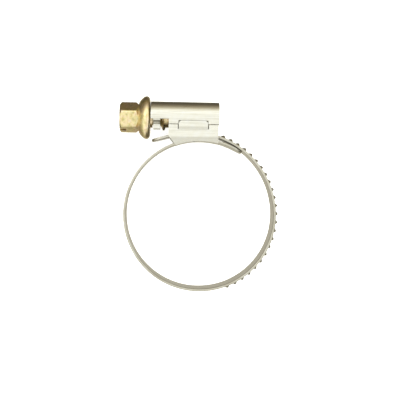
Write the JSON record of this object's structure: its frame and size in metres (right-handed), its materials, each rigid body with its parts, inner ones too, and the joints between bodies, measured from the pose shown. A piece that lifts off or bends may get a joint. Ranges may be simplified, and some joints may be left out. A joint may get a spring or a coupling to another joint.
{
  "type": "hose clamp",
  "caption": "Worm-drive hose clamp with a slotted hex-head screw, a rolled housing and a toothed steel band that closes round a hose.",
  "frame": {"origin": "centre of the hose bore, at the middle of the band's width", "axes": "+Z along the hose, +Y towards the screw housing, -X towards the screw's hex head"},
  "size_m": [0.041, 0.0499, 0.0112],
  "materials": {
    "yellow_zinc": "yellow-chromated zinc plating, satin",
    "housing_steel": "bright rolled sheet, satin",
    "band_steel": "rolled strip, satin"
  },
  "bodies": {
    "housing": {"tunnel_housing": "housing_steel", "saddle_plate": "housing_steel", "band_fixed_end": "band_steel"},
    "screw": {"worm_screw": "yellow_zinc"},
    "tongue": {"band_tongue": "band_steel"},
    "free_end": {"band_free_end": "band_steel"},
    "section_1": {"band_section_1": "band_steel"},
    "section_2": {"band_section_2": "band_steel"},
    "section_3": {"band_section_3": "band_steel"},
    "section_4": {"band_section_4": "band_steel"},
    "section_5": {"band_section_5": "band_steel"},
    "section_6": {"band_section_6": "band_steel"},
    "section_7": {"band_section_7": "band_steel"},
    "section_8": {"band_section_8": "band_steel"},
    "section_9": {"band_section_9": "band_steel"},
    "section_10": {"band_section_10": "band_steel"}
  },
  "joints": [
    {"name": "screw_turn", "type": "hinge", "parent": "housing", "child": "screw", "pos_m": [0, 0.0248, 0], "axis": [1, 0, 0], "range_deg": [-1080, 4320]},
    {"name": "band_feed", "type": "hinge", "parent": "housing", "child": "free_end", "pos_m": [-0.00189, -0.00015, 0], "axis": [0, 0, 1], "range_deg": [-17, 67.4]},
    {"name": "tongue_bend", "type": "hinge", "parent": "housing", "child": "tongue", "pos_m": [0.0046, 0.0185, 0], "axis": [0, 0, 1], "range_deg": [-10.95, 2.89], "deforming": ["band_tongue"]},
    {"name": "band_bend_1", "type": "hinge", "parent": "free_end", "child": "section_1", "pos_m": [0.01624, 0.00238, 0], "axis": [0, 0, 1], "range_deg": [-14.56, 3.79], "deforming": ["band_section_1"]},
    {"name": "band_bend_2", "type": "hinge", "parent": "section_1", "child": "section_2", "pos_m": [0.01467, -0.00439, 0], "axis": [0, 0, 1], "range_deg": [-7.74, 2.08], "deforming": ["band_section_2"]},
    {"name": "band_bend_3", "type": "hinge", "parent": "section_2", "child": "section_3", "pos_m": [0.01261, -0.01229, 0], "axis": [0, 0, 1], "range_deg": [-1.62, 0.56], "deforming": ["band_section_3"]},
    {"name": "band_bend_4", "type": "hinge", "parent": "section_3", "child": "section_4", "pos_m": [0.00624, -0.01836, 0], "axis": [0, 0, 1], "range_deg": [-0.308, 0.63], "deforming": ["band_section_4"]},
    {"name": "band_bend_5", "type": "hinge", "parent": "section_4", "child": "section_5", "pos_m": [-0.0024, -0.01848, 0], "axis": [0, 0, 1], "range_deg": [-1.01, 0.4], "deforming": ["band_section_5"]},
    {"name": "band_bend_6", "type": "hinge", "parent": "section_5", "child": "section_6", "pos_m": [-0.00975, -0.01424, 0], "axis": [0, 0, 1], "range_deg": [-6.01, 1.65], "deforming": ["band_section_6"]},
    {"name": "band_bend_7", "type": "hinge", "parent": "section_6", "child": "section_7", "pos_m": [-0.01495, -0.00963, 0], "axis": [0, 0, 1], "range_deg": [-9.72, 2.58], "deforming": ["band_section_7"]},
    {"name": "band_bend_8", "type": "hinge", "parent": "section_7", "child": "section_8", "pos_m": [-0.016, -0.00251, 0], "axis": [0, 0, 1], "range_deg": [-9.14, 2.44], "deforming": ["band_section_8"]},
    {"name": "band_bend_9", "type": "hinge", "parent": "section_8", "child": "section_9", "pos_m": [-0.01296, 0.00397, 0], "axis": [0, 0, 1], "range_deg": [-7.09, 1.92], "deforming": ["band_section_9"]},
    {"name": "band_bend_10", "type": "hinge", "parent": "section_9", "child": "section_10", "pos_m": [-0.00861, 0.0092, 0], "axis": [0, 0, 1], "range_deg": [-6.32, 1.73], "deforming": ["band_section_10"]}
  ],
  "couplings": [
    {"joint": "band_feed", "follows": "screw_turn", "ratio": 0.015556},
    {"joint": "tongue_bend", "follows": "screw_turn", "ratio": -0.0024889},
    {"joint": "band_bend_1", "follows": "screw_turn", "ratio": -0.0033242},
    {"joint": "band_bend_2", "follows": "screw_turn", "ratio": -0.0017453},
    {"joint": "band_bend_3", "follows": "screw_turn", "ratio": -0.00032978},
    {"joint": "band_bend_4", "follows": "screw_turn", "ratio": 0.00009956},
    {"joint": "band_bend_5", "follows": "screw_turn", "ratio": -0.00018822},
    {"joint": "band_bend_6", "follows": "screw_turn", "ratio": -0.001344},
    {"joint": "band_bend_7", "follows": "screw_turn", "ratio": -0.0022042},
    {"joint": "band_bend_8", "follows": "screw_turn", "ratio": -0.0020704},
    {"joint": "band_bend_9", "follows": "screw_turn", "ratio": -0.001596},
    {"joint": "band_bend_10", "follows": "screw_turn", "ratio": -0.0014171}
  ]
}
